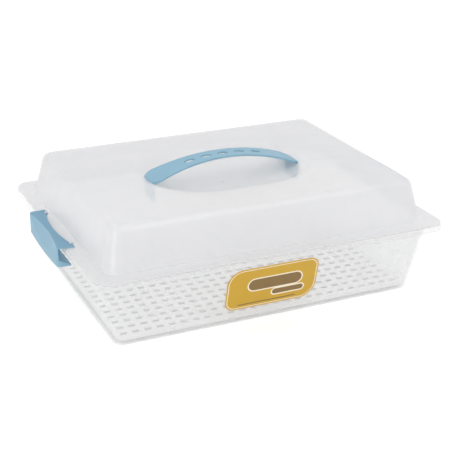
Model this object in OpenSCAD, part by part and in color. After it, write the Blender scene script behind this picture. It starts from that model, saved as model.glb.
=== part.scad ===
// Rectangular cake carrier: translucent tub with a slotted rack, a domed lid that swings
// on its left latch clip, an arched strap handle over a finger recess and two C clips.
// All lengths are in millimetres. The middle of the tub's underside is at the origin,
// X runs along the length, Y towards the back and Z up.

/* [Tub] */
// Length over the tub's rim
rim_length = 450; // [300:1:600]
// Width over the tub's rim
rim_width = 352; // [220:1:480]
// Height of the rim's top face
rim_height = 93.5; // [60:0.5:160]
// Corner radius of the rim
rim_corner = 22; // [10:1:40]
// Depth of the rim's turned-down lip
lip_depth = 6; // [4:0.5:7]
// How far the floor's ends stand in from the rim's ends
floor_inset_x = 30.75; // [20:0.25:60]
// How far the floor's sides stand in from the rim's sides
floor_inset_y = 33.75; // [20:0.25:60]
// Corner radius of the floor
floor_corner = 11.3; // [8:0.1:20]
// Outward lean of the tub's walls, as a run per unit of height
tub_draft = 0.2435; // [0.1:0.01:0.26]
// Wall thickness of tub and lid
wall = 2; // [1.2:0.1:2.4]
// Fillet between floor and walls
floor_fillet = 5; // [3:0.5:7]

/* [Lid] */
// Overall height to the lid's flat top
lid_top = 146; // [125:0.5:200]
// How far the ends of the lid's flat top stand in from the tub's rim
roof_inset_x = 32.3; // [24:0.1:60]
// How far the sides of the lid's flat top stand in from the tub's rim
roof_inset_y = 34.8; // [24:0.1:60]
// Corner radius of the top, at the theoretical corner of wall and top
roof_corner = 11.7; // [8:0.1:20]
// Inward lean of the lid's walls, as a run per unit of height
lid_draft = 0.28; // [0.1:0.01:0.3]
// Rounding between the lid's walls and top
roof_fillet = 10; // [5:0.5:14]
// How far the lid's flange stops short of the tub's rim
flange_inset = 2; // [1:0.5:4]
// Thickness of the lid's flange
flange_thickness = 1.5; // [1.2:0.1:2.4]
// Air between the tub's rim and the lid's flange
seat_gap = 0.2; // [0:0.05:0.5]
// Depth of the two ribs that keep the lid square in the tub's mouth
rib_depth = 4; // [2:0.5:6]
// Length of each of those ribs
rib_length = 120; // [40:1:180]
// Clearance between those ribs and the tub's wall
rib_clearance = 0.8; // [0.4:0.1:2]

/* [Finger recess] */
// Depth of the recess under the handle
recess_depth = 23.4; // [15:0.1:30]
// Width of the recess at the lid's top, to the theoretical corner of both
recess_width = 161; // [120:1:180]
// Rounding of the recess's rim
recess_fillet = 18; // [6:1:24]
// Straight middle length of the recess
recess_straight = 60; // [20:1:80]
// How far recess, handle and its slots sit to the right of the middle
handle_shift = 1; // [-5:0.5:5]

/* [Handle] */
// Height of the strap's crest over the lid's top
crest = 16.3; // [8:0.1:30]
// How far the strap's ends stop short of the recess's rim
strap_margin = 10; // [6:0.5:30]
// Width of the strap at its ends
strap_width = 40; // [30:0.5:44]
// Width of the strap at the hand's grip
waist_width = 28; // [20:0.5:30]
// Corner radius of the strap's ends
strap_corner = 12; // [6:0.5:14]
// Thickness of the strap
strap_thickness = 2.2; // [2:0.1:3]
// How far the strap's ends stand proud of the recess they rest in
strap_lip = 0.8; // [0.4:0.1:1.6]
// Length of each lens-shaped grip opening
lens_length = 15; // [8:0.5:18]
// Width of each lens-shaped grip opening
lens_width = 8.5; // [3:0.5:10]
// Distance between grip openings
lens_pitch = 22.6; // [18:0.1:26]
// Width of the legs that plug into the lid
leg_width = 32; // [20:0.5:34]
// Length of the legs below the strap
leg_length = 24; // [12:0.5:26]
// Thickness of the legs
leg_thickness = 2.4; // [2:0.1:3]
// Clearance round each leg in its slot
leg_clearance = 0.3; // [0.1:0.05:0.6]

/* [Clips] */
// Length of each clip
clip_length = 122; // [90:1:150]
// Wall thickness of the clips
clip_wall = 1.8; // [1.6:0.1:2.4]
// Distance of a clip's outer face beyond the rim
clip_stand_off = 9.5; // [8:0.5:12]
// Height of a clip's lower edge above the table
clip_bottom = 73; // [70:0.5:76]
// How far the clip's hook reaches under the rim
hook_reach = 6.5; // [4:0.5:7.5]
// Distance of the clip's pins from the rim's edge
pin_inset = 10.2; // [9:0.1:12]
// Radius of the clip's pins
pin_radius = 1.1; // [0.8:0.1:1.2]
// Running clearance of the pins, on the radius
pin_clearance = 0.05; // [0.02:0.01:0.1]
// Air between a closed clip and the lid's flange
clip_gap = 0.3; // [0.2:0.05:0.5]
// Inward bow of the clip's upper edge at mid length
clip_bow = 5; // [0.5:0.5:6]
// How far the clip's lower edge bows down in the middle
lower_bow = 4; // [0.5:0.5:6]
// Angle by which the right clip stands open
right_open = 80; // [0:1:95]

/* [Rack] */
// Distance between slots
slot_pitch = 15; // [12:0.5:15]
// Length of a slot
slot_length = 8.5; // [5:0.5:10]
// Width of a slot
slot_width = 6; // [3:0.5:9]
// Height of the rack's upper face over the tub's floor
rack_height = 6.3; // [5:0.1:12]
// Thickness of the rack's plate
rack_thickness = 2; // [1.5:0.1:3]
// Clearance between the rack and the tub's wall at floor level
rack_clearance = 3.5; // [2:0.5:8]
// Least plain border round the slots
rack_border = 4.5; // [3:0.5:20]

/* [Label] */
// Length of the label
label_length = 118; // [60:1:160]
// Height of the label along the wall
label_height = 58; // [30:1:70]
// Thickness of the label
label_thickness = 0.4; // [0.2:0.1:1]
// Height of the label's lower edge
label_bottom = 20.5; // [12:0.5:25]
// Sideways place of the label's middle
label_shift = -4; // [-60:1:60]

/* [Hidden] */
$fn = 48;
e = 0.01;

plastic = [0.88, 0.89, 0.9, 0.45];
blue = [0.45, 0.68, 0.8];
gold = [0.8, 0.65, 0.12];

floor_length = rim_length - 2 * floor_inset_x;
floor_width = rim_width - 2 * floor_inset_y;
roof_length = rim_length - 2 * roof_inset_x;
roof_width = rim_width - 2 * roof_inset_y;
tub_cx = floor_length / 2 - floor_corner;
tub_cy = floor_width / 2 - floor_corner;
lid_cx = roof_length / 2 - roof_corner;
lid_cy = roof_width / 2 - roof_corner;

// Where the lid's flange lies
flange_z = rim_height + seat_gap;
flange_top = flange_z + flange_thickness;
lid_height = lid_top - flange_z;

// The clip's pins lie over the flange
pin_x = rim_length / 2 - pin_inset;
barrel_radius = pin_radius + 0.6;
barrel_gap = 0.2;
pin_z = flange_z + barrel_gap + barrel_radius;
lug_radius = pin_radius + 1.6;
lug_thickness = 4;
horn_width = 7;
horn_y = (clip_length - horn_width) / 2;
lug_y = clip_length / 2 - horn_width - 0.3 - lug_thickness / 2;

// The recess is a shallow bowl drawn out lengthwise; its rim rolls over into the lid's top
recess_radius = (pow(recess_width / 2, 2) + pow(recess_depth, 2)) / (2 * recess_depth);
recess_z = lid_top - recess_depth + recess_radius;
roll_z = lid_top - recess_fillet;
roll_r = sqrt(pow(recess_radius + recess_fillet, 2) - pow(recess_z - roll_z, 2));

// The rack's outline, how many slots it takes, and where its feet stand between them
rack_grow = (wall + rack_height / 2) * tub_draft;
rack_length = floor_length - 2 * (wall + rack_clearance) + rack_grow;
rack_width = floor_width - 2 * (wall + rack_clearance) + rack_grow;
slots_x = floor((rack_length - 2 * rack_border - slot_length) / slot_pitch) + 1;
slots_y = floor((rack_width - 2 * rack_border - slot_width) / slot_pitch) + 1;
feet_x = [for (k = [-0.32, -0.12, 0.12, 0.32]) round(k * slots_x) + (slots_x % 2) / 2];
feet_y = [for (k = [-0.44, 0, 0.44]) round(k * slots_y) + (slots_y % 2) / 2];

// The strap's arch runs from the crest down to the recess
strap_end = (recess_straight + recess_width) / 2 - strap_margin;
seat_z = recess_z - sqrt(pow(recess_radius, 2) - pow(recess_width / 2 - strap_margin, 2));
arch_drop = lid_top + crest - seat_z - strap_lip;
arch_radius = (pow(strap_end, 2) + pow(arch_drop, 2)) / (2 * arch_drop);
arch_z = lid_top + crest - arch_radius;
waist_radius = (pow(strap_end - strap_corner, 2) + pow((strap_width - waist_width) / 2, 2))
    / (strap_width - waist_width);
leg_x = strap_end - leg_thickness;
leg_top_z = arch_z + sqrt(pow(arch_radius - strap_thickness / 2, 2) - pow(leg_x, 2));

// Shapes shared by tub and lid

// A plain rectangle with round corners, about the origin
module round_rect(length, width, radius) {
    square([length - 2 * radius, width], center = true);
    square([length, width - 2 * radius], center = true);
    for (sx = [-1, 1], sy = [-1, 1])
        translate([sx * (length / 2 - radius), sy * (width / 2 - radius)]) circle(radius);
}

// Half section of a filled cup: floor at 0, leaning wall at r0, fillet between them
module cup_fill(r0, height, lean, fillet) {
    a = atan(lean);
    xc = r0 + fillet * lean - fillet / cos(a);
    xt = xc + fillet * cos(a);
    zt = fillet - fillet * sin(a);
    intersection() {
        translate([xc, fillet]) circle(fillet);
        square([xc + 2 * fillet, fillet]);
    }
    square([xc, fillet]);
    polygon([[0, zt], [xt, zt], [r0 + height * lean, height], [0, height]]);
}

// Half section of the cup's wall and floor
module cup_wall(r0, height, lean, fillet) {
    a = atan(lean);
    difference() {
        cup_fill(r0, height, lean, fillet);
        translate([-e, wall])
            cup_fill(r0 + wall * lean - wall / cos(a) + e, height, lean, fillet - wall);
    }
}

// A half section carried round a rectangle whose corner centres lie at cx, cy
module carried_round(cx, cy) {
    for (k = [0 : 3])
        translate([(k == 0 || k == 3 ? 1 : -1) * cx, (k < 2 ? 1 : -1) * cy, 0])
            rotate([0, 0, 90 * k]) rotate_extrude(angle = 90) children();
    for (s = [0, 180]) rotate([0, 0, s]) {
        translate([cx, cy, 0]) rotate([90, 0, 0]) linear_extrude(height = 2 * cy) children();
        translate([-cx, cy, 0]) rotate([90, 0, 90]) linear_extrude(height = 2 * cx) children();
    }
}

// A tray with leaning walls, its floor down
module tray(cx, cy, r0, height, lean, fillet) {
    carried_round(cx, cy) cup_wall(r0, height, lean, fillet);
    translate([-cx, -cy, 0]) cube([2 * cx, 2 * cy, wall]);
}

module base_tub() {
    mouth = floor_corner + (rim_height - wall) * tub_draft - wall / cos(atan(tub_draft));
    color(plastic) {
        tray(tub_cx, tub_cy, floor_corner, rim_height - e, tub_draft, floor_fillet);
        difference() {
            translate([0, 0, rim_height - wall]) linear_extrude(height = wall)
                round_rect(rim_length, rim_width, rim_corner);
            translate([0, 0, rim_height - wall - 1]) linear_extrude(height = wall + 2)
                round_rect(2 * (tub_cx + mouth), 2 * (tub_cy + mouth), mouth);
        }
        difference() {
            translate([0, 0, rim_height - lip_depth]) linear_extrude(height = lip_depth)
                round_rect(rim_length, rim_width, rim_corner);
            translate([0, 0, rim_height - lip_depth - 1]) linear_extrude(height = lip_depth + 2)
                round_rect(rim_length - 2 * wall, rim_width - 2 * wall, rim_corner - wall);
        }
    }
}

// Half section of the air in the recess, with its surface moved down by extra
module bowl_air(extra) {
    meet = (recess_radius + extra) / (recess_radius + recess_fillet);
    meet_z = recess_z - (recess_z - roll_z) * meet;
    intersection() {
        translate([0, recess_z]) circle(recess_radius + extra, $fn = 144);
        translate([0, lid_top - 60]) square([roll_r, meet_z - lid_top + 60 + e]);
    }
    difference() {
        translate([0, meet_z]) square([roll_r, lid_top - meet_z + 30]);
        translate([roll_r, roll_z]) circle(recess_fillet - extra, $fn = 72);
    }
}

// The air in the recess and over it: a bowl at each end and a trough between them
module bowl(extra) {
    translate([handle_shift, 0, 0]) {
        for (s = [-1, 1]) translate([s * recess_straight / 2, 0, 0])
            rotate_extrude() bowl_air(extra);
        rotate([90, 0, 90]) linear_extrude(height = recess_straight, center = true) {
            bowl_air(extra);
            mirror([1, 0, 0]) bowl_air(extra);
        }
    }
}

module lid() {
    base = roof_corner + lid_height * lid_draft;
    middle = base - wall / 2;
    tub_inner_y = tub_cy + floor_corner + (rim_height - rib_depth) * tub_draft - wall * 1.03;
    rib_y = tub_inner_y - rib_clearance - wall;
    color(plastic) {
        difference() {
            union() {
                translate([0, 0, lid_top]) mirror([0, 0, 1])
                    tray(lid_cx, lid_cy, roof_corner, lid_height, lid_draft, roof_fillet);
                intersection() {
                    bowl(wall);
                    translate([0, 0, lid_top - 60]) linear_extrude(height = 60)
                        square([roof_length, roof_width], center = true);
                }
            }
            bowl(0);
            for (s = [-1, 1]) translate([handle_shift, 0, 0]) handle_leg(s, leg_clearance);
        }
        translate([handle_shift, 0, lid_top - recess_depth - 0.5]) cylinder(h = 1.2, r = 1.5);
        difference() {
            translate([0, 0, flange_z]) linear_extrude(height = flange_thickness)
                round_rect(rim_length - 2 * flange_inset, rim_width - 2 * flange_inset,
                           rim_corner - flange_inset);
            translate([0, 0, flange_z - 1]) linear_extrude(height = flange_thickness + 2)
                round_rect(2 * (lid_cx + middle), 2 * (lid_cy + middle), middle);
            for (sx = [-1, 1], sy = [-1, 1]) translate([sx * pin_x, sy * horn_y, flange_z])
                cube([2 * barrel_radius + 0.8, horn_width + 0.8, 4 * flange_thickness],
                     center = true);
            for (sx = [-1, 1], sy = [-1, 1]) translate([sx * pin_x, sy * lug_y, 0]) pin_hole();
        }
        for (s = [-1, 1])
            translate([-rib_length / 2, s * (rib_y + wall / 2) - wall / 2, flange_z - rib_depth])
                cube([rib_length, wall, rib_depth + e]);
        for (sx = [-1, 1], sy = [-1, 1]) translate([sx * pin_x, sy * lug_y, 0]) lug();
    }
}

// An ear on the lid's flange that carries one pin of a clip
module lug() {
    difference() {
        union() {
            translate([0, 0, pin_z]) rotate([90, 0, 0])
                cylinder(h = lug_thickness, r = lug_radius, center = true);
            translate([-lug_radius, -lug_thickness / 2, flange_z])
                cube([2 * lug_radius, lug_thickness, pin_z - flange_z]);
        }
        translate([0, 0, flange_z - lug_radius])
            cube([3 * lug_radius, 2 * lug_thickness, 2 * lug_radius], center = true);
        pin_hole();
    }
}

// The hole that a pin turns in
module pin_hole() {
    translate([0, 0, pin_z]) rotate([90, 0, 0])
        cylinder(h = lug_thickness + 2, r = pin_radius + pin_clearance, center = true);
}

// One leg of the strap, on side s, grown by extra on every side
module handle_leg(s, extra) {
    translate([s * leg_x, 0, leg_top_z - leg_length / 2])
        cube([leg_thickness + 2 * extra, leg_width + 2 * extra, leg_length + 2 * extra],
             center = true);
}

// The strap seen from above: wide ends, drawn in at the hand's grip
module strap_outline() {
    difference() {
        round_rect(2 * strap_end, strap_width, strap_corner);
        for (s = [-1, 1]) translate([0, s * (waist_width / 2 + waist_radius)])
            circle(waist_radius, $fn = 360);
    }
}

module carry_handle() {
    lens_radius = (pow(lens_length / 2, 2) + pow(lens_width / 2, 2)) / lens_width;
    color(blue) {
        intersection() {
            translate([handle_shift, 0, 0]) difference() {
                intersection() {
                    translate([0, 0, arch_z]) rotate([90, 0, 0])
                        linear_extrude(height = strap_width + 2, center = true) difference() {
                            circle(arch_radius, $fn = 360);
                            circle(arch_radius - strap_thickness, $fn = 360);
                        }
                    translate([0, 0, lid_top - 30]) linear_extrude(height = 30 + crest + 5)
                        strap_outline();
                }
                for (k = [-2 : 2]) translate([k * lens_pitch, 0, lid_top - 10])
                    linear_extrude(height = crest + 20) intersection() {
                        translate([0, lens_radius - lens_width / 2]) circle(lens_radius);
                        translate([0, lens_width / 2 - lens_radius]) circle(lens_radius);
                    }
            }
            bowl(0);
        }
        for (s = [-1, 1]) translate([handle_shift, 0, 0]) handle_leg(s, 0);
    }
}

// The scoop that bows the clip's outer face inwards, grown by extra
module clip_scoop(extra) {
    half = clip_length / 2;
    scoop_radius = (half * half + clip_bow * clip_bow) / (2 * clip_bow);
    outer = pin_inset + clip_stand_off;
    top = flange_top + clip_gap + clip_wall;
    drop = top - clip_bottom;
    lean = atan((clip_bow + 1.5) / drop);
    translate([outer - clip_bow, 0, top - pin_z]) rotate([0, -lean, 0])
        translate([scoop_radius, 0, 0])
            cylinder(h = 4 * drop, r = scoop_radius + extra, center = true, $fn = 360);
}

// A clip in its closed place: pins at the origin, outwards along +X
module clip_body() {
    outer = pin_inset + clip_stand_off;
    under = flange_top + clip_gap - pin_z;
    top = under + clip_wall;
    bottom = clip_bottom - pin_z;
    tip = pin_inset - hook_reach;
    half = clip_length / 2;
    edge_bow = 8.5;
    edge_radius = (half * half + edge_bow * edge_bow) / (2 * edge_bow);
    lower_radius = (half * half + lower_bow * lower_bow) / (2 * lower_bow);
    low = bottom - lower_bow;
    lip = 4;
    clip_corner = 5;
    rib_z = rim_height - lip_depth - 0.6 - pin_z;
    rib_y = 36;
    rib_width = 2;
    difference() {
        intersection() {
            translate([outer / 2, 0, (top + low) / 2])
                cube([outer, clip_length, top - low], center = true);
            translate([outer / 2 - 10, 0, low - 1]) linear_extrude(height = 60)
                round_rect(outer + 20, clip_length, clip_corner);
            translate([outer / 2, 0, low + lower_radius]) rotate([0, 90, 0])
                cylinder(h = 2 * outer, r = lower_radius, center = true, $fn = 360);
        }
        clip_scoop(0);
        difference() {
            rotate([90, 0, 0]) linear_extrude(height = clip_length + 2, center = true)
                polygon([[-1, under], [outer - clip_wall, under],
                         [outer - clip_wall, bottom + 8], [tip, bottom + 1.4],
                         [tip, bottom], [outer - lip, bottom], [outer - lip, low - 1],
                         [-1, low - 1]]);
            clip_scoop(clip_wall);
            for (s = [-1, 1]) translate([pin_inset + 0.6, s * rib_y - rib_width / 2, bottom])
                cube([outer, rib_width, under - bottom + e]);
            for (s = [-1, 1]) translate([pin_inset - 0.3, s * rib_y - rib_width / 2, bottom])
                cube([outer, rib_width, rib_z - bottom]);
        }
        translate([edge_bow - barrel_radius - edge_radius, 0, under - 1])
            cylinder(h = 10, r = edge_radius, $fn = 360);
        for (s = [-1, 1]) translate([0, s * lug_y, 0])
            cube([2 * lug_radius + 2.4, lug_thickness + 0.6, 12], center = true);
    }
    for (s = [-1, 1]) {
        translate([0, s * horn_y, 0]) rotate([90, 0, 0])
            cylinder(h = horn_width, r = barrel_radius, center = true);
        translate([0, s * (half - horn_width - 2), 0]) rotate([90, 0, 0])
            cylinder(h = 4 + 2 * e, r = pin_radius, center = true);
    }
}

module clip_left() {
    color(blue) translate([-pin_x, 0, pin_z]) rotate([0, 0, 180]) clip_body();
}

module clip_right() {
    color(blue) translate([pin_x, 0, pin_z]) rotate([0, -right_open, 0]) clip_body();
}

module cooling_rack() {
    top = wall + rack_height;
    skirt = 1.5;
    foot_radius = 2.6;
    color(plastic) difference() {
        union() {
            translate([0, 0, top - rack_thickness]) linear_extrude(height = rack_thickness)
                round_rect(rack_length, rack_width, floor_corner);
            difference() {
                translate([0, 0, wall + 2]) linear_extrude(height = rack_height - 2)
                    round_rect(rack_length, rack_width, floor_corner);
                translate([0, 0, wall]) linear_extrude(height = rack_height)
                    round_rect(rack_length - 2 * skirt, rack_width - 2 * skirt, floor_corner - skirt);
            }
            for (x = feet_x, y = feet_y)
                translate([x * slot_pitch, y * slot_pitch, wall])
                    cylinder(h = rack_height - e, r = foot_radius, $fn = 24);
        }
        translate([-(slots_x - 1) / 2 * slot_pitch, -(slots_y - 1) / 2 * slot_pitch, top])
            for (i = [0 : slots_x - 1], j = [0 : slots_y - 1])
                translate([i * slot_pitch, j * slot_pitch, 0])
                    cube([slot_length, slot_width, 3 * rack_thickness], center = true);
    }
}

module front_label() {
    big = 20;
    small = 13;
    a = atan(tub_draft);
    color(gold)
        translate([label_shift, -tub_cy - floor_corner - label_bottom * tub_draft, label_bottom])
            rotate([90 + a, 0, 0]) linear_extrude(height = label_thickness)
                translate([-label_length / 2, 0]) {
                    for (c = [[big, label_height - big, big], [label_length - big, big, big],
                              [small, small, small],
                              [label_length - small, label_height - small, small]])
                        translate([c[0], c[1]]) circle(c[2]);
                    polygon([[0, small], [small, small], [small, 0], [label_length - big, 0],
                             [label_length - big, big], [label_length, big],
                             [label_length, label_height - small],
                             [label_length - small, label_height - small],
                             [label_length - small, label_height], [big, label_height],
                             [big, label_height - big], [0, label_height - big]]);
                }
}

base_tub();
cooling_rack();
lid();
carry_handle();
clip_left();
clip_right();
front_label();
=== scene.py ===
# Rectangular cake carrier in milky polypropylene with light blue fittings.
# The solids come from the frame. This script gives them their finishes, adds the printed
# marks of the label, and sets the studio. Blender's units are metres.
import math
import bpy
from mathutils import Matrix, Vector


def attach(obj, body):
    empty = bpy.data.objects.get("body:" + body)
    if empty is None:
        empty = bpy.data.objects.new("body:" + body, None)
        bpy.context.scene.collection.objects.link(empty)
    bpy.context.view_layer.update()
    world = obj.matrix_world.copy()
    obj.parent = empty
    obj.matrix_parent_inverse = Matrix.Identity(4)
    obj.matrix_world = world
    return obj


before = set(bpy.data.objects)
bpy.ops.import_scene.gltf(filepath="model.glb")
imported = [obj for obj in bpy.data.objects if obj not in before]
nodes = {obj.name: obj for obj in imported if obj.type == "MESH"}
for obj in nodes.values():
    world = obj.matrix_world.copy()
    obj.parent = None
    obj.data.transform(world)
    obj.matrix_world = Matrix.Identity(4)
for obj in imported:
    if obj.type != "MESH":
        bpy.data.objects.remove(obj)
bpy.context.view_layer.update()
scene = bpy.context.scene
mm = 0.001
print("frame loaded with", len(nodes), "solids")


def linear(hexColour):  # sRGB hex to the linear values that shaders take
    channels = [int(hexColour[i:i + 2], 16) / 255 for i in (1, 3, 5)]
    return [c / 12.92 if c <= 0.04045 else ((c + 0.055) / 1.055) ** 2.4
            for c in channels] + [1]


def perSize(size):  # texture scale that gives features of this many millimetres
    return 1 / (size * mm)


def addNode(tree, kind, settings=None, links=None):
    node = tree.nodes.new(kind)
    for name, value in (settings or {}).items():
        if isinstance(name, str) and name[0].islower():
            setattr(node, name, value)
        else:
            node.inputs[name].default_value = value
    for name, source in (links or {}).items():
        tree.links.new(source, node.inputs[name])
    return node


def newMaterial(name):
    material = bpy.data.materials.new(name)
    material.use_nodes = True
    material.node_tree.nodes.clear()
    return material, material.node_tree


def dress(nodeName, material):
    solid = nodes[nodeName]
    solid.data.materials.clear()
    solid.data.materials.append(material)


noiseLow = 0.3  # most of a noise texture's values lie between these two
noiseHigh = 0.7
plasticIor = 1.49  # polypropylene
edgeSamples = 8  # rays that find the round of a moulded edge


def mouldedSurface(tree, look, place):  # orange peel over rounded edges
    peel = addNode(tree, "ShaderNodeTexNoise",
                   {"Scale": perSize(look["peelSize"]), "Detail": 1.0},
                   {"Vector": place.outputs["Object"]})
    edge = addNode(tree, "ShaderNodeBevel",
                   {"samples": edgeSamples, "Radius": look["edgeRadius"] * mm})
    bump = addNode(tree, "ShaderNodeBump",
                   {"Strength": look["peelStrength"], "Distance": look["peelDepth"] * mm},
                   {"Height": peel.outputs["Fac"], "Normal": edge.outputs["Normal"]})
    return edge.outputs["Normal"], bump.outputs["Normal"]


# Natural polypropylene, injection moulded without pigment: milky, half see-through, satin
# with a faint orange peel, a little cloudier where the melt flowed slowly. Moulded edges
# are slightly round, so they catch a fine line of light, and a painted highlight whitens
# them. Sizes are in millimetres.
tubPlastic = {"colour": "#F1F1F1", "glow": "#F5F5F5", "tint": "#FBFBFB", "opacity": 0.27,
              "lightStopped": 0.1, "cloud": 0.02, "cloudSize": 45, "roughness": 0.3,
              "smoother": 0.04, "rougher": 0.05, "peelSize": 2.4, "peelDepth": 0.006,
              "peelStrength": 0.4, "edgeRadius": 1.5, "edgeHighlightColour": "#FEFEFE",
              "edgeMilkAndHighlight": 0.45, "edgeStart": 0.97, "edgeFull": 0.8, "throughLight": 0.3,
              "shine": 1.0, "skinShine": 1.0, "skinRoughness": 0.2}
# the lid is milkier and a little greyer
lidPlastic = dict(tubPlastic, colour="#E4E4E6", glow="#EBEBED", opacity=0.6, roughness=0.34,
                  shine=0.7, skinShine=0.6)
# the rack is nearly solid white; its edges are too fine to look denser and get no painted edge
# highlight
rackPlastic = dict(tubPlastic, colour="#FDFDFD", glow="#FDFDFD", opacity=0.9,
                   lightStopped=0.9, roughness=0.34, edgeRadius=0.6, edgeMilkAndHighlight=0.0,
                   throughLight=0.08, shine=0.5, skinShine=0.0)


# How far a surface is inside the round of an edge, up to the look's edge share: there the
# rounded normal turns away from the flat face's. The edge starts and is full at cosines of
# that turn. This mask paints a highlight on the edge and makes it denser.
def edgeMilkAndHighlightMask(tree, look, roundedNormal):
    face = addNode(tree, "ShaderNodeNewGeometry")
    turn = addNode(tree, "ShaderNodeVectorMath", {"operation": "DOT_PRODUCT"},
                   {0: roundedNormal, 1: face.outputs["Normal"]})
    return addNode(tree, "ShaderNodeMapRange",
                   {"From Min": look["edgeStart"], "From Max": look["edgeFull"],
                    "To Max": look["edgeMilkAndHighlight"]}, {"Value": turn.outputs["Value"]})


def milkyPolypropylene(name, look):
    material, tree = newMaterial(name)
    place = addNode(tree, "ShaderNodeTexCoord")
    cloud = addNode(tree, "ShaderNodeTexNoise",
                    {"Scale": perSize(look["cloudSize"]), "Detail": 2.0},
                    {"Vector": place.outputs["Object"]})
    density = addNode(tree, "ShaderNodeMapRange",
                      {"From Min": noiseLow, "From Max": noiseHigh,
                       "To Min": look["opacity"] - look["cloud"],
                       "To Max": look["opacity"] + look["cloud"]},
                      {"Value": cloud.outputs["Fac"]}).outputs["Result"]
    gloss = addNode(tree, "ShaderNodeMapRange",
                    {"From Min": noiseLow, "From Max": noiseHigh,
                     "To Min": look["roughness"] - look["smoother"],
                     "To Max": look["roughness"] + look["rougher"]},
                    {"Value": cloud.outputs["Fac"]})
    roundedNormal, peeledNormal = mouldedSurface(tree, look, place)
    # the gloss is raised to make up for what the see-through share takes from it
    skin = addNode(tree, "ShaderNodeBsdfPrincipled",
                   {"Base Color": linear(look["colour"]), "IOR": plasticIor,
                    "Specular IOR Level": look["shine"], "Coat Weight": look["skinShine"],
                    "Coat Roughness": look["skinRoughness"]},
                   {"Roughness": gloss.outputs["Result"], "Normal": peeledNormal})
    # painted highlight: an edge gathers light from inside the wall, so its colour is painted whiter
    # there, and it is also made denser
    if look["edgeMilkAndHighlight"]:
        edge = edgeMilkAndHighlightMask(tree, look, roundedNormal)
        whiter = addNode(tree, "ShaderNodeMix",
                         {"data_type": "RGBA", 6: linear(look["colour"]),
                          7: linear(look["edgeHighlightColour"])}, {0: edge.outputs["Result"]})
        tree.links.new(whiter.outputs[2], skin.inputs["Base Color"])
        density = addNode(tree, "ShaderNodeMath", {"operation": "ADD", "use_clamp": True},
                          {0: density, 1: edge.outputs["Result"]}).outputs[0]
    # milk scatters light on rather than stopping it, so rays that carry light meet a share
    # of it: what it covers is bright and its shadow is pale
    path = addNode(tree, "ShaderNodeLightPath")
    lighting = addNode(tree, "ShaderNodeMath", {"operation": "MAXIMUM"},
                       {0: path.outputs["Is Shadow Ray"], 1: path.outputs["Is Diffuse Ray"]})
    share = addNode(tree, "ShaderNodeMapRange", {"To Min": 1.0, "To Max": look["lightStopped"]},
                    {"Value": lighting.outputs[0]})
    milkiness = addNode(tree, "ShaderNodeMath", {"operation": "MULTIPLY"},
                        {0: density, 1: share.outputs["Result"]})
    glow = addNode(tree, "ShaderNodeBsdfTranslucent", {"Color": linear(look["glow"])})
    milk = addNode(tree, "ShaderNodeMixShader", {0: look["throughLight"]},
                   {1: skin.outputs[0], 2: glow.outputs[0]})
    clear = addNode(tree, "ShaderNodeBsdfTransparent", {"Color": linear(look["tint"])})
    body = addNode(tree, "ShaderNodeMixShader", {},
                   {0: milkiness.outputs[0], 1: clear.outputs[0], 2: milk.outputs[0]})
    addNode(tree, "ShaderNodeOutputMaterial", {}, {"Surface": body.outputs[0]})
    return material


dress("base_tub", milkyPolypropylene("natural polypropylene, moulded tub", tubPlastic))
dress("lid", milkyPolypropylene("natural polypropylene, moulded lid", lidPlastic))
dress("cooling_rack", milkyPolypropylene("natural polypropylene, moulded rack", rackPlastic))
print("milky plastic on tub, lid and rack")


# The same plastic with a little pigment, moulded: satin, letting some light through, with
# soft streaks where the melt met.
bluePlastic = {"colour": "#9AC3D6", "deep": "#8CB7CC", "glow": "#B2D6E6", "roughness": 0.38,
               "flowSize": 30, "peelSize": 2.0, "peelDepth": 0.02, "peelStrength": 0.5,
               "edgeRadius": 0.7, "throughLight": 0.25}
# a clip's top plate lies close over the rim, so less light comes through it: painted shade
# makes the colour deeper where the surface points the way that the plate does at rest
clipPlastic = dict(bluePlastic, paintedPlateShade="#7CAAC4", paintedPlateShadeStart=0.5, paintedPlateShadeFull=0.95)
rightClipAngle = math.radians(80)  # as photographed
plateFaces = {"clip_left": (0, 0, 1),
              "clip_right": (-math.sin(rightClipAngle), 0, math.cos(rightClipAngle))}


def bluePolypropylene(name, look, plateFace=None):
    material, tree = newMaterial(name)
    place = addNode(tree, "ShaderNodeTexCoord")
    flow = addNode(tree, "ShaderNodeTexNoise",
                   {"Scale": perSize(look["flowSize"]), "Detail": 3.0, "Distortion": 0.6},
                   {"Vector": place.outputs["Object"]})
    colour = addNode(tree, "ShaderNodeMix",
                     {"data_type": "RGBA", 6: linear(look["deep"]), 7: linear(look["colour"])},
                     {0: flow.outputs["Fac"]})
    # painted shade: the colour turns deeper where the surface points the way that the clip's top
    # plate does
    if plateFace:
        facing = addNode(tree, "ShaderNodeVectorMath", {"operation": "DOT_PRODUCT", 1: plateFace},
                         {0: place.outputs["Normal"]})
        paintedPlateShade = addNode(tree, "ShaderNodeMapRange",
                         {"From Min": look["paintedPlateShadeStart"], "From Max": look["paintedPlateShadeFull"]},
                         {"Value": facing.outputs["Value"]})
        colour = addNode(tree, "ShaderNodeMix", {"data_type": "RGBA", 7: linear(look["paintedPlateShade"])},
                         {0: paintedPlateShade.outputs["Result"], 6: colour.outputs[2]})
    peeledNormal = mouldedSurface(tree, look, place)[1]
    skin = addNode(tree, "ShaderNodeBsdfPrincipled",
                   {"Roughness": look["roughness"], "IOR": plasticIor},
                   {"Base Color": colour.outputs[2], "Normal": peeledNormal})
    glow = addNode(tree, "ShaderNodeBsdfTranslucent", {"Color": linear(look["glow"])})
    body = addNode(tree, "ShaderNodeMixShader", {0: look["throughLight"]},
                   {1: skin.outputs[0], 2: glow.outputs[0]})
    addNode(tree, "ShaderNodeOutputMaterial", {}, {"Surface": body.outputs[0]})
    return material


dress("carry_handle", bluePolypropylene("light blue polypropylene, moulded strap", bluePlastic))
for clip, plateFace in plateFaces.items():
    dress(clip, bluePolypropylene("light blue polypropylene, moulded clip", clipPlastic, plateFace))
print("blue plastic on handle and clips")


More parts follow.
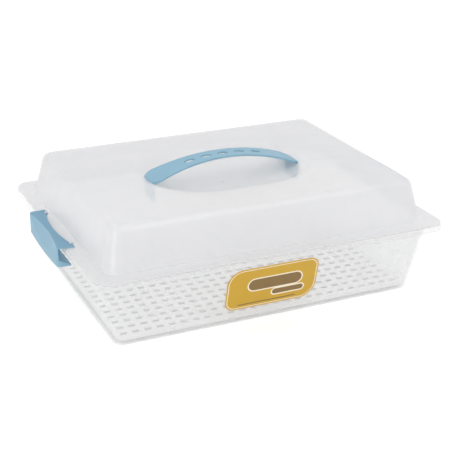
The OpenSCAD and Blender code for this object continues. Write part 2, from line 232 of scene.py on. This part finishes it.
# Ink printed on a polypropylene film: even colour with a fine press mottle and a soft gloss.
# The print is a plain one, in millimetres: a line round the border, two bars and a rule near
# the foot. Bars and rule are left, low, right and high from the label's lower left.
labelPrint = {"gold": "#CCA21A", "warm": "#C79B1C", "cream": "#FBF1DC", "shade": "#F3E6C8",
              "brown": "#86682F", "umber": "#7A5D2A", "roughness": 0.38, "varnish": 0.2,
              "varnishRoughness": 0.15, "mottleSize": 22, "grainSize": 0.8,
              "grainDepth": 0.01, "grainStrength": 0.3, "bigCorner": 20, "smallCorner": 13,
              "lift": 0.06, "layerStep": 0.03, "borderInset": 1.7, "borderWidth": 1.0,
              "outline": 1.7, "ruleCorner": 0.5,
              "bar": (28, 25, 97, 41), "strip": (60, 14, 101, 21.5), "rule": (17, 5.6, 92, 7.2)}


def printedInk(name, first, second):
    material, tree = newMaterial(name)
    place = addNode(tree, "ShaderNodeTexCoord")
    mottle = addNode(tree, "ShaderNodeTexNoise",
                     {"Scale": perSize(labelPrint["mottleSize"]), "Detail": 4.0},
                     {"Vector": place.outputs["Object"]})
    colour = addNode(tree, "ShaderNodeMix",
                     {"data_type": "RGBA", 6: linear(first), 7: linear(second)},
                     {0: mottle.outputs["Fac"]})
    grain = addNode(tree, "ShaderNodeTexNoise",
                    {"Scale": perSize(labelPrint["grainSize"]), "Detail": 1.0},
                    {"Vector": place.outputs["Object"]})
    bump = addNode(tree, "ShaderNodeBump",
                   {"Strength": labelPrint["grainStrength"],
                    "Distance": labelPrint["grainDepth"] * mm},
                   {"Height": grain.outputs["Fac"]})
    film = addNode(tree, "ShaderNodeBsdfPrincipled",
                   {"Roughness": labelPrint["roughness"], "IOR": plasticIor,
                    "Coat Weight": labelPrint["varnish"],
                    "Coat Roughness": labelPrint["varnishRoughness"]},
                   {"Base Color": colour.outputs[2], "Normal": bump.outputs["Normal"]})
    addNode(tree, "ShaderNodeOutputMaterial", {}, {"Surface": film.outputs[0]})
    return material


def roundedOutline(left, low, right, high, radii):  # anticlockwise from the lower left
    points = []
    steps = 8  # in each corner
    corners = ((left, low, 1, 1), (right, low, -1, 1), (right, high, -1, -1), (left, high, 1, -1))
    for turn, ((x, y, sideX, sideY), radius) in enumerate(zip(corners, radii)):
        for step in range(steps + 1):
            angle = math.radians(180 + 90 * turn + 90 * step / steps)
            points.append((x + sideX * radius + radius * math.cos(angle),
                           y + sideY * radius + radius * math.sin(angle)))
    return points


def measureLabel():  # its lower left, its upward and outward ways, and its size in mm
    mesh = nodes["front_label"].data
    towardsFront = -0.9  # faces whose normal has a lower y than this look forward
    faces = [face for face in mesh.polygons if face.normal.y < towardsFront]
    outward = sum((face.normal * face.area for face in faces), Vector()).normalized()
    upward = outward.cross(Vector((1, 0, 0)))
    points = [mesh.vertices[i].co for face in faces for i in face.vertices]
    across = [point.x for point in points]
    along = [point.dot(upward) for point in points]
    depth = sum(point.dot(outward) for point in points) / len(points)
    corner = Vector((min(across), 0, 0)) + min(along) * upward + depth * outward
    return {"corner": corner, "upward": upward, "outward": outward,
            "length": (max(across) - min(across)) / mm, "height": (max(along) - min(along)) / mm}


label = measureLabel()


def printOn(name, layer, loops, material):  # one loop is filled, two make a ring
    away = (labelPrint["lift"] + labelPrint["layerStep"] * layer) * mm
    origin = label["corner"] + away * label["outward"]
    points = [origin + Vector((x * mm, 0, 0)) + y * mm * label["upward"]
              for loop in loops for x, y in loop]
    count = len(loops[0])
    if len(loops) == 1:
        faces = [tuple(range(count))]
    else:
        faces = [(i, (i + 1) % count, count + (i + 1) % count, count + i) for i in range(count)]
    mesh = bpy.data.meshes.new(name)
    mesh.from_pydata(points, [], faces)
    mesh.materials.append(material)
    piece = bpy.data.objects.new(name, mesh)
    scene.collection.objects.link(piece)
    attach(piece, "tub")


def makeLabelPrint():
    cream = printedInk("cream ink on film", labelPrint["cream"], labelPrint["shade"])
    brown = printedInk("brown ink on film", labelPrint["brown"], labelPrint["umber"])
    big, small = labelPrint["bigCorner"], labelPrint["smallCorner"]

    def border(inset):
        return roundedOutline(inset, inset, label["length"] - inset, label["height"] - inset,
                              [small - inset, big - inset, small - inset, big - inset])

    edge = labelPrint["borderInset"]
    printOn("label_border", 0, [border(edge + labelPrint["borderWidth"]), border(edge)], cream)
    for name in ("bar", "strip"):
        left, low, right, high = labelPrint[name]
        grow = labelPrint["outline"]
        half = (high - low) / 2
        printOn("label_%s_outline" % name, 0,
                [roundedOutline(left - grow, low - grow, right + grow, high + grow,
                                [half + grow] * 4)], cream)
        printOn("label_" + name, 1, [roundedOutline(left, low, right, high, [half] * 4)], brown)
    corners = [labelPrint["ruleCorner"]] * 4
    printOn("label_rule", 0, [roundedOutline(*labelPrint["rule"], corners)], brown)


dress("front_label", printedInk("gold ink on film", labelPrint["warm"], labelPrint["gold"]))
makeLabelPrint()
print("label printed")


# A pale floor under soft light from all round, with a high softbox at the right and a low
# one at the left, in metres and watts. The camera's place comes from the photo's outline.
studio = {"floorSize": 14, "floorDrop": 0.0001, "floor": "#EDEDED", "floorGlow": 0.25,
          "worldLight": 0.98, "aim": (0, 0, 0.06),
          "keyPlace": (0.8, -1.1, 2.2), "keyPower": 9, "keySize": 1.3,
          "sidePlace": (-2.2, -1.1, 0.6), "sidePower": 9, "sideSize": 1.0}
shot = {"target": Vector((7.8, -1.3, 60)) * mm, "distance": 1435.5 * mm,
        "azimuth": math.radians(-24.59), "elevation": math.radians(22.65),
        "roll": math.radians(0.38), "lens": 88.18, "sensor": 36}


def seenDirectly(tree):  # 1 for camera, glossy and transmission rays
    path = addNode(tree, "ShaderNodeLightPath")
    either = addNode(tree, "ShaderNodeMath", {"operation": "MAXIMUM"},
                     {0: path.outputs["Is Camera Ray"], 1: path.outputs["Is Glossy Ray"]})
    return addNode(tree, "ShaderNodeMath", {"operation": "MAXIMUM"},
                   {0: either.outputs[0], 1: path.outputs["Is Transmission Ray"]})


# The paper glows a little where it is seen or mirrored, so that it reads as white, and sheds
# no more light on the carrier for it.
def makeFloor():
    half = studio["floorSize"] / 2
    mesh = bpy.data.meshes.new("floor")
    mesh.from_pydata([(-half, -half, 0), (half, -half, 0), (half, half, 0), (-half, half, 0)],
                     [], [(0, 1, 2, 3)])
    floor = bpy.data.objects.new("floor", mesh)
    floor.location.z = -studio["floorDrop"]  # just clear of the tub's underside
    scene.collection.objects.link(floor)
    material, tree = newMaterial("matt white paper sweep")
    paper = addNode(tree, "ShaderNodeBsdfDiffuse", {"Color": linear(studio["floor"])})
    seen = seenDirectly(tree)
    lift = addNode(tree, "ShaderNodeMath", {"operation": "MULTIPLY", 1: studio["floorGlow"]},
                   {0: seen.outputs[0]})
    glow = addNode(tree, "ShaderNodeEmission", {}, {"Strength": lift.outputs[0]})
    both = addNode(tree, "ShaderNodeAddShader", {}, {0: paper.outputs[0], 1: glow.outputs[0]})
    addNode(tree, "ShaderNodeOutputMaterial", {}, {"Surface": both.outputs[0]})
    mesh.materials.append(material)


def makeWorld():
    world = bpy.data.worlds.new("white studio")
    scene.world = world
    world.use_nodes = True
    tree = world.node_tree
    tree.nodes.clear()
    seen = seenDirectly(tree)
    lighting = addNode(tree, "ShaderNodeBackground",
                       {"Color": linear("#FFFFFF"), "Strength": studio["worldLight"]})
    backdrop = addNode(tree, "ShaderNodeBackground",
                       {"Color": linear("#FFFFFF"), "Strength": 1.0})
    both = addNode(tree, "ShaderNodeMixShader", {},
                   {0: seen.outputs[0], 1: lighting.outputs[0], 2: backdrop.outputs[0]})
    addNode(tree, "ShaderNodeOutputWorld", {}, {"Surface": both.outputs[0]})


def addSoftbox(name, place, size, power):
    data = bpy.data.lights.new(name, "AREA")
    data.shape = "SQUARE"
    data.size = size
    data.energy = power
    light = bpy.data.objects.new(name, data)
    light.location = place
    ray = Vector(studio["aim"]) - Vector(place)
    light.rotation_euler = ray.to_track_quat("-Z", "Y").to_euler()
    scene.collection.objects.link(light)


def makeCamera():
    flat = math.cos(shot["elevation"])
    back = Vector((math.sin(shot["azimuth"]) * flat, -math.cos(shot["azimuth"]) * flat,
                   math.sin(shot["elevation"])))
    right = Vector((0, 0, 1)).cross(back).normalized()
    up = back.cross(right)
    rolled = right * math.cos(shot["roll"]) + up * math.sin(shot["roll"])
    data = bpy.data.cameras.new("camera")
    data.lens = shot["lens"]
    data.sensor_width = shot["sensor"]
    data.sensor_fit = "HORIZONTAL"
    camera = bpy.data.objects.new("camera", data)
    axes = Matrix((rolled, back.cross(rolled), back)).transposed().to_4x4()
    stand = Matrix.Translation(shot["target"] + back * shot["distance"])
    camera.matrix_world = stand @ axes
    scene.collection.objects.link(camera)
    scene.camera = camera


makeFloor()
makeWorld()
addSoftbox("key light", studio["keyPlace"], studio["keySize"], studio["keyPower"])
addSoftbox("side light", studio["sidePlace"], studio["sideSize"], studio["sidePower"])
makeCamera()
scene.view_settings.view_transform = "Standard"
scene.cycles.transparent_max_bounces = 32  # many thin see-through walls lie behind each other
scene.cycles.sample_clamp_indirect = 4  # takes out single pixels that are far too bright
print("studio set")
